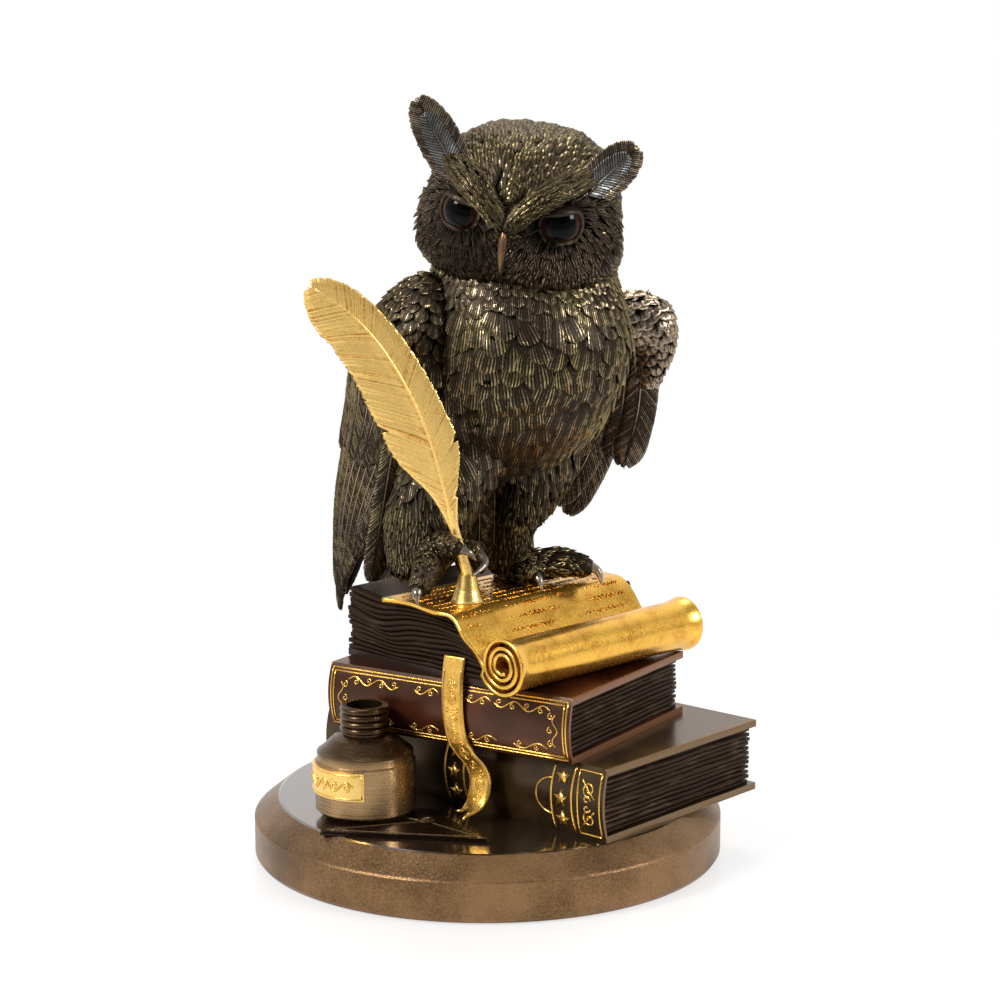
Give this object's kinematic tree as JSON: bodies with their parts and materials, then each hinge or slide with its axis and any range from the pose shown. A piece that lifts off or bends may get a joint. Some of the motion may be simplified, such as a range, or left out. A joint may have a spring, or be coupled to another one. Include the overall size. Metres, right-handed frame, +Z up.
{
  "type": "owl figurine",
  "caption": "Free-standing owl figurine: a dark bronze owl with a gilt quill, on a stack of books with a scroll, ink bottle and letter, on a round plinth.",
  "frame": {"origin": "centre of the felt's underside, where the plinth stands", "axes": "+Z up, from the plinth to the ear tufts; -Y towards the figurine's front, where the owl's face, the scroll and the ink bottle show; +X to the viewer's right"},
  "size_m": [0.1612, 0.152, 0.2398],
  "materials": {
    "felt": "matt felt",
    "base_bronze": "dark bronze, satin, polished on top",
    "plumage_bronze": "dark bronze with olive patina and rubbed edges",
    "foot_bronze": "dark grey-brown bronze, satin",
    "bottle_bronze": "pale brown bronze, satin",
    "gilt": "gilt with amber shadows",
    "copper": "copper, rubbed",
    "book_olive": "glossy dark olive-brown lacquer",
    "book_oxblood": "glossy dark red-brown lacquer",
    "page_brown": "dark brown with rubbed edges",
    "eye_glass": "polished dark glass",
    "pin_steel": "plain"
  },
  "bodies": {
    "root": {"felt_pad": "felt", "plinth": "base_bronze", "letter": "base_bronze", "wax_seal": "copper", "ink_bottle": "bottle_bronze", "ink_label": "gilt", "lower_book_cover": "book_olive", "lower_book_pages": "page_brown", "middle_book_cover": "book_oxblood", "middle_book_pages": "page_brown", "top_book_cover": "book_oxblood", "top_book_pages": "page_brown", "bookmark_ribbon": "gilt", "scroll": "gilt", "quill_socket": "gilt", "quill": "gilt", "torso": "plumage_bronze", "head": "plumage_bronze", "left_eye": "eye_glass", "right_eye": "eye_glass", "beak": "copper", "left_ear_tuft": "plumage_bronze", "right_ear_tuft": "plumage_bronze", "folded_wing": "plumage_bronze", "raised_wing": "plumage_bronze", "tail": "plumage_bronze", "standing_leg": "foot_bronze", "gripping_leg": "foot_bronze", "stack_pins": "pin_steel", "leg_rod": "pin_steel"}
  },
  "joints": []
}
